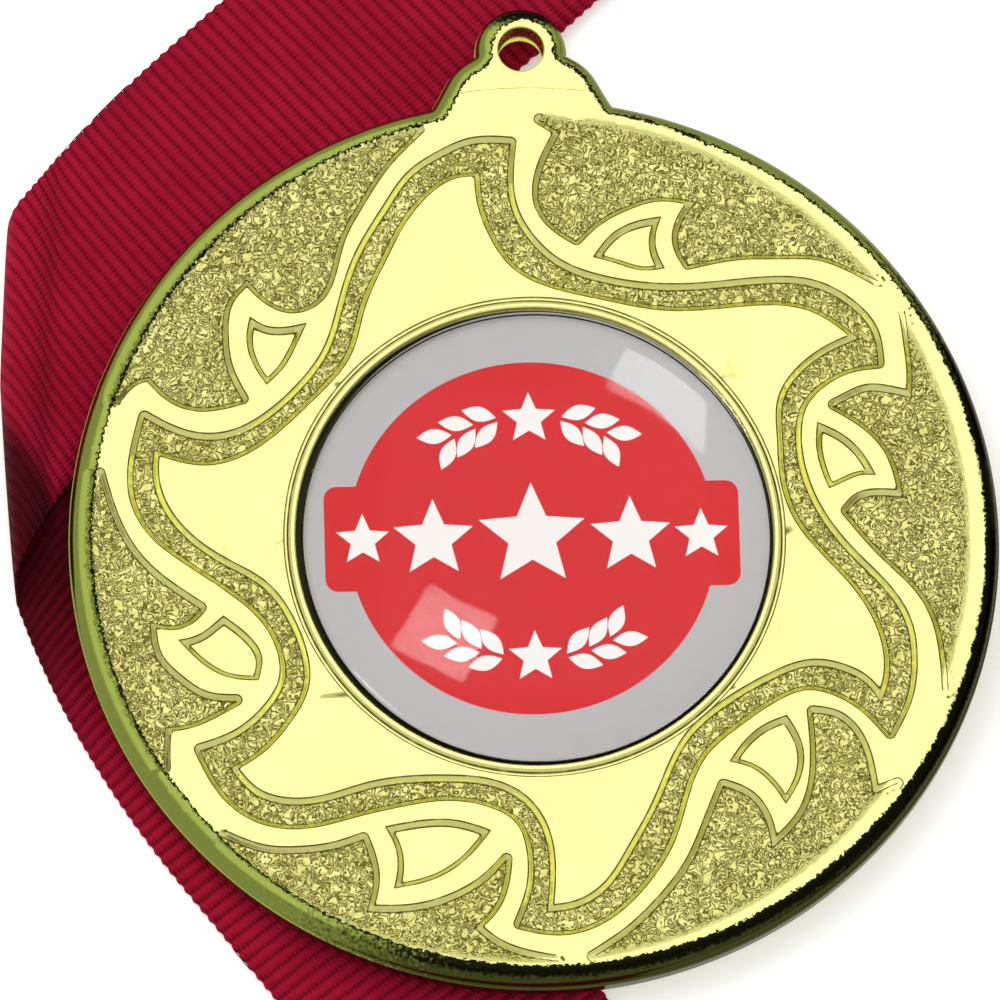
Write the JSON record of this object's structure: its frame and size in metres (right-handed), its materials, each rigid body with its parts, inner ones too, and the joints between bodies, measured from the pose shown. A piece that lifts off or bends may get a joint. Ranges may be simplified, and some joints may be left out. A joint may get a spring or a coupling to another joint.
{
  "type": "award medal",
  "caption": "Gold-coloured cast award medal with a domed printed centre and a hanging lug, lying on a folded crimson neck ribbon with a swivel hook",
  "frame": {"origin": "centre of the medal's flat back face", "axes": "+X to the right of the medal's face, +Y from the centre toward the hanging lug, +Z out of the medal's face; the object lies flat, face up"},
  "size_m": [0.0767, 0.1237, 0.0066],
  "materials": {
    "gilt_casting": "bright gold plating on a zinc casting",
    "foam_pad": "thin double-sided foam pad",
    "label_print": "printed silver-grey label with a red field",
    "clear_resin": "clear glossy poured resin",
    "ribbon_weave": "crimson grosgrain weave",
    "band_paper": "plain paper band",
    "gilt_fitting": "bright gold-plated fittings",
    "spring_steel": "plain spring steel"
  },
  "bodies": {
    "medal_and_ribbon": {"medal_casting": "gilt_casting", "adhesive_pad": "foam_pad", "printed_label": "label_print", "clear_dome": "clear_resin", "ribbon_upper_run": "ribbon_weave", "ribbon_lower_run": "ribbon_weave", "ribbon_fold": "ribbon_weave", "ribbon_upper_return": "ribbon_weave", "ribbon_lower_return": "ribbon_weave", "ribbon_hank": "ribbon_weave", "ribbon_ends": "ribbon_weave", "hank_band": "band_paper", "ribbon_clamp": "gilt_fitting"},
    "link": {"wire_link": "gilt_fitting"},
    "eye": {"swivel_eye": "gilt_fitting"},
    "hook": {"hook_body": "gilt_fitting", "gate_rivet": "gilt_fitting"},
    "gate": {"spring_gate": "spring_steel"}
  },
  "joints": [
    {"name": "link_swing", "type": "hinge", "parent": "medal_and_ribbon", "child": "link", "pos_m": [0.0375, -0.0454, 0.0016], "axis": [1, 0, 0], "range_deg": [-90, 0]},
    {"name": "eye_swing", "type": "hinge", "parent": "link", "child": "eye", "pos_m": [0.0375, -0.0524, 0.0016], "axis": [1, 0, 0], "range_deg": [-90, 90]},
    {"name": "hook_swivel", "type": "hinge", "parent": "eye", "child": "hook", "pos_m": [0.0375, -0.0572, 0.0016], "axis": [0, 1, 0], "continuous": true},
    {"name": "gate_open", "type": "hinge", "parent": "hook", "child": "gate", "pos_m": [0.0343, -0.0604, 0.0016], "axis": [0, 0, 1], "range_deg": [0, 28], "stiffness_Nm_per_rad": 0.002, "springref_deg": -11.46}
  ]
}
